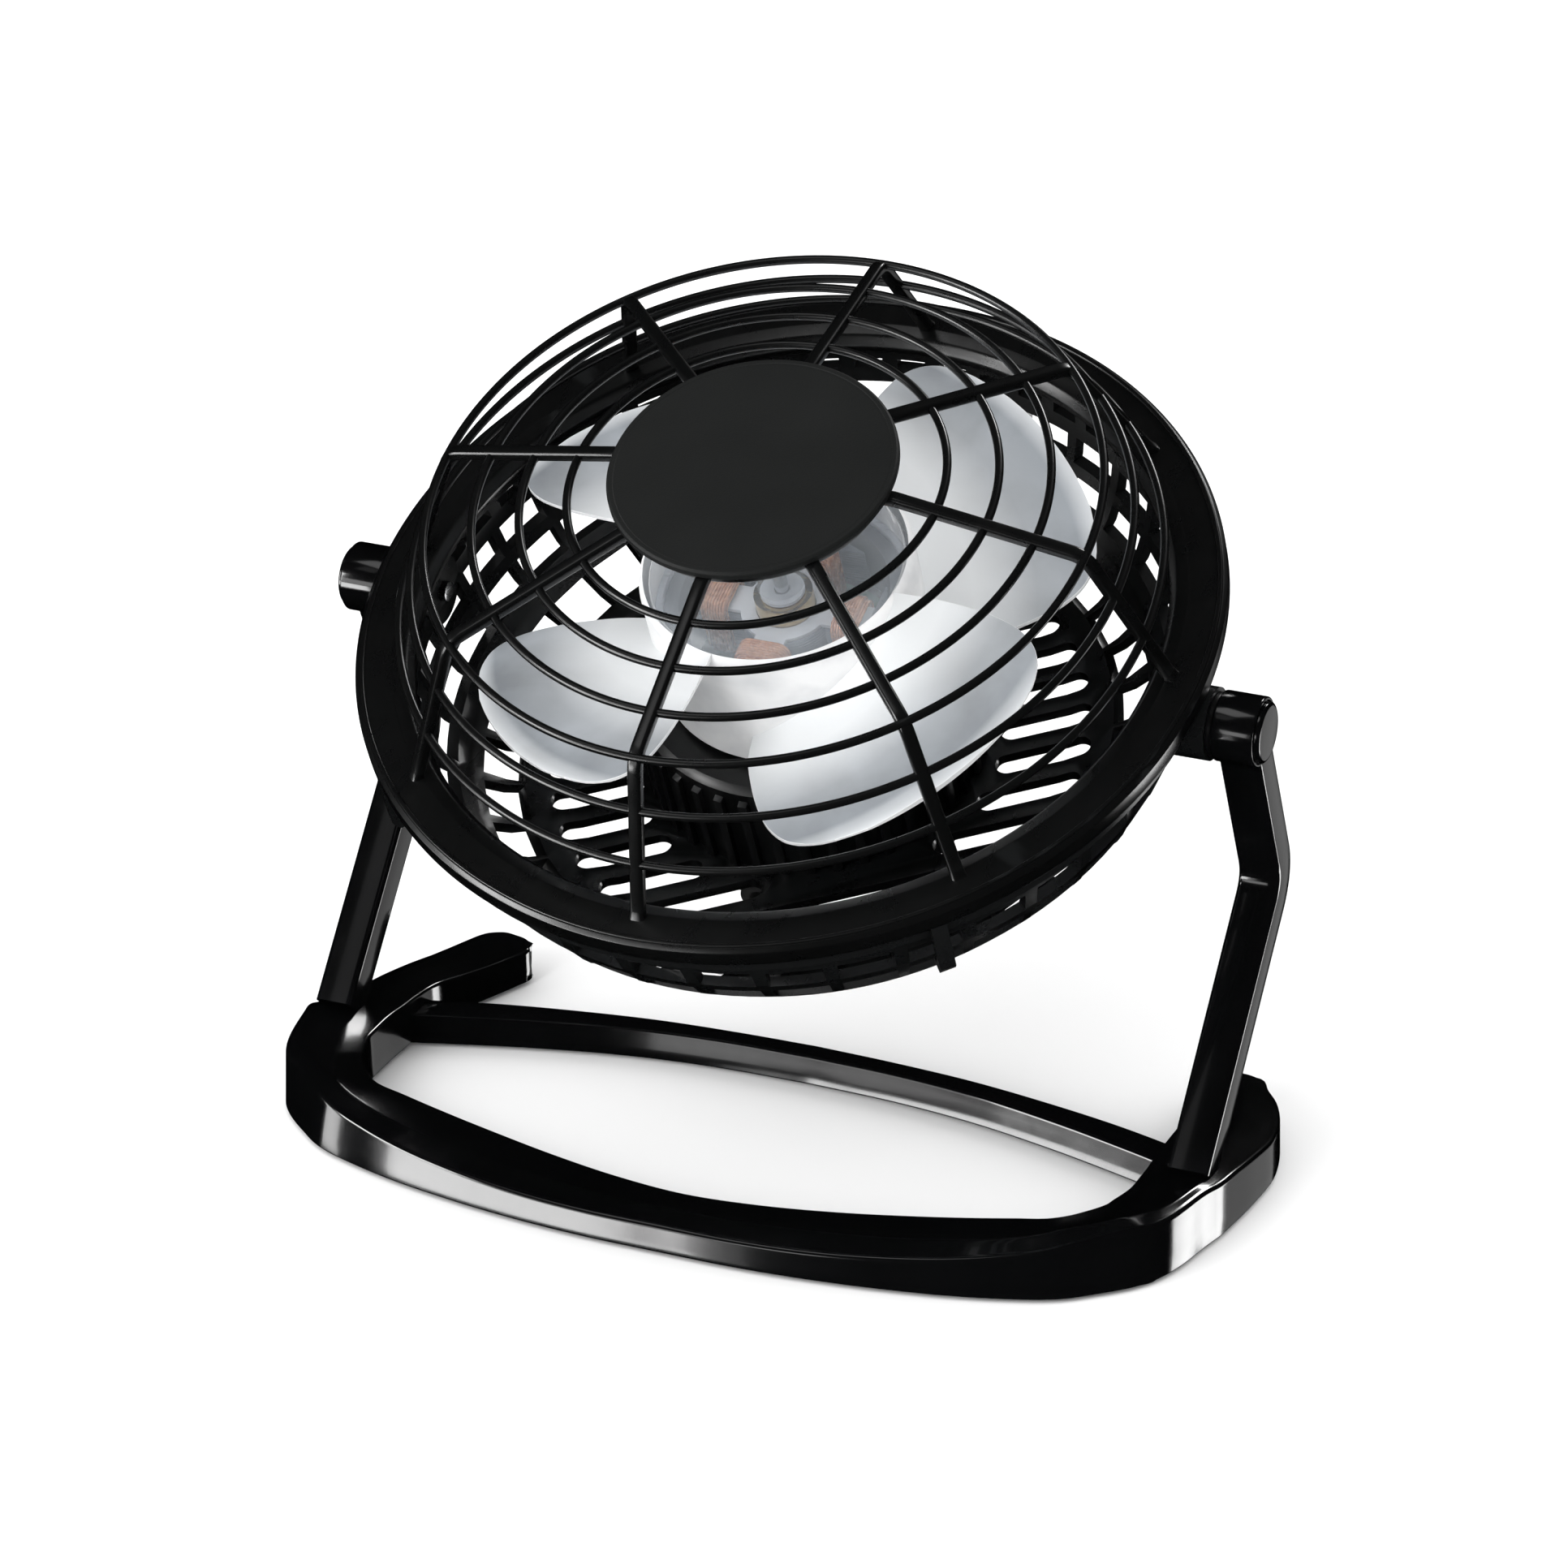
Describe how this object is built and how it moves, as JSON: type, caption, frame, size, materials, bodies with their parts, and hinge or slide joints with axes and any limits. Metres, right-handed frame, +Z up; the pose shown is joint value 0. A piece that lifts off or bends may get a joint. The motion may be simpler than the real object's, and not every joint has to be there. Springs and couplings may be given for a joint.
{
  "type": "desk fan",
  "caption": "Small desk fan: four clear blades in a round cage that tilts between two bent arms on a low open base.",
  "frame": {"origin": "centre of the bounding box, on the surface the fan stands on", "axes": "+Z up, the fan blows towards -Y and up, +X to the right when looking along +Y; the head tilts about an axis along X"},
  "size_m": [0.1448, 0.1133, 0.1196],
  "materials": {
    "stand_gloss": "polished black ABS",
    "guard_black": "satin black ABS",
    "cap_matte": "fine matt black",
    "pad_rubber": "soft black",
    "gland_rubber": "soft black",
    "screw_steel": "zinc plated",
    "washer_nylon": "natural nylon",
    "switch_black": "moulded",
    "brass": "turned",
    "bronze": "sintered, oiled",
    "lamination": "stamped sheets",
    "copper": "enamelled copper wire",
    "board_green": "solder mask",
    "clear_blade": "clear and frosted polystyrene",
    "flux_steel": "rolled",
    "magnet": "bonded ferrite",
    "shaft_steel": "ground"
  },
  "bodies": {
    "stand": {"base_loop": "stand_gloss", "foot_pads": "pad_rubber", "arm_right": "stand_gloss", "arm_left": "stand_gloss", "arm_screws": "screw_steel", "pivot_screws": "screw_steel", "pivot_washers": "washer_nylon", "pivot_caps": "stand_gloss"},
    "head": {"guard_rim": "guard_black", "guard_wall": "guard_black", "guard_dome": "guard_black", "front_cap": "cap_matte", "basket_wall": "guard_black", "basket_back": "guard_black", "motor_housing": "guard_black", "rear_cover": "guard_black", "cable_gland": "gland_rubber", "switch_body": "switch_black", "cover_screws": "screw_steel", "bearing_tube": "brass", "bush_rear": "bronze", "bush_front": "bronze", "stator_core": "lamination", "stator_insulators": "washer_nylon", "stator_coils": "copper", "circuit_board": "board_green"},
    "rotor": {"impeller": "clear_blade", "flux_ring": "flux_steel", "magnet_ring": "magnet", "shaft": "shaft_steel", "shaft_clip": "shaft_steel", "thrust_washer": "washer_nylon"},
    "switch": {"switch_slider": "switch_black"}
  },
  "joints": [
    {"name": "head_tilt", "type": "hinge", "parent": "stand", "child": "head", "pos_m": [0, 0.0033, 0.071], "axis": [1, 0, 0], "range_deg": [-65, 100]},
    {"name": "blade_spin", "type": "hinge", "parent": "head", "child": "rotor", "pos_m": [0, 0.0033, 0.071], "axis": [0, -0.4226, 0.9063], "continuous": true},
    {"name": "switch_slide", "type": "slide", "parent": "head", "child": "switch", "axis": [1, 0, 0], "range_m": [0, 0.003]}
  ]
}
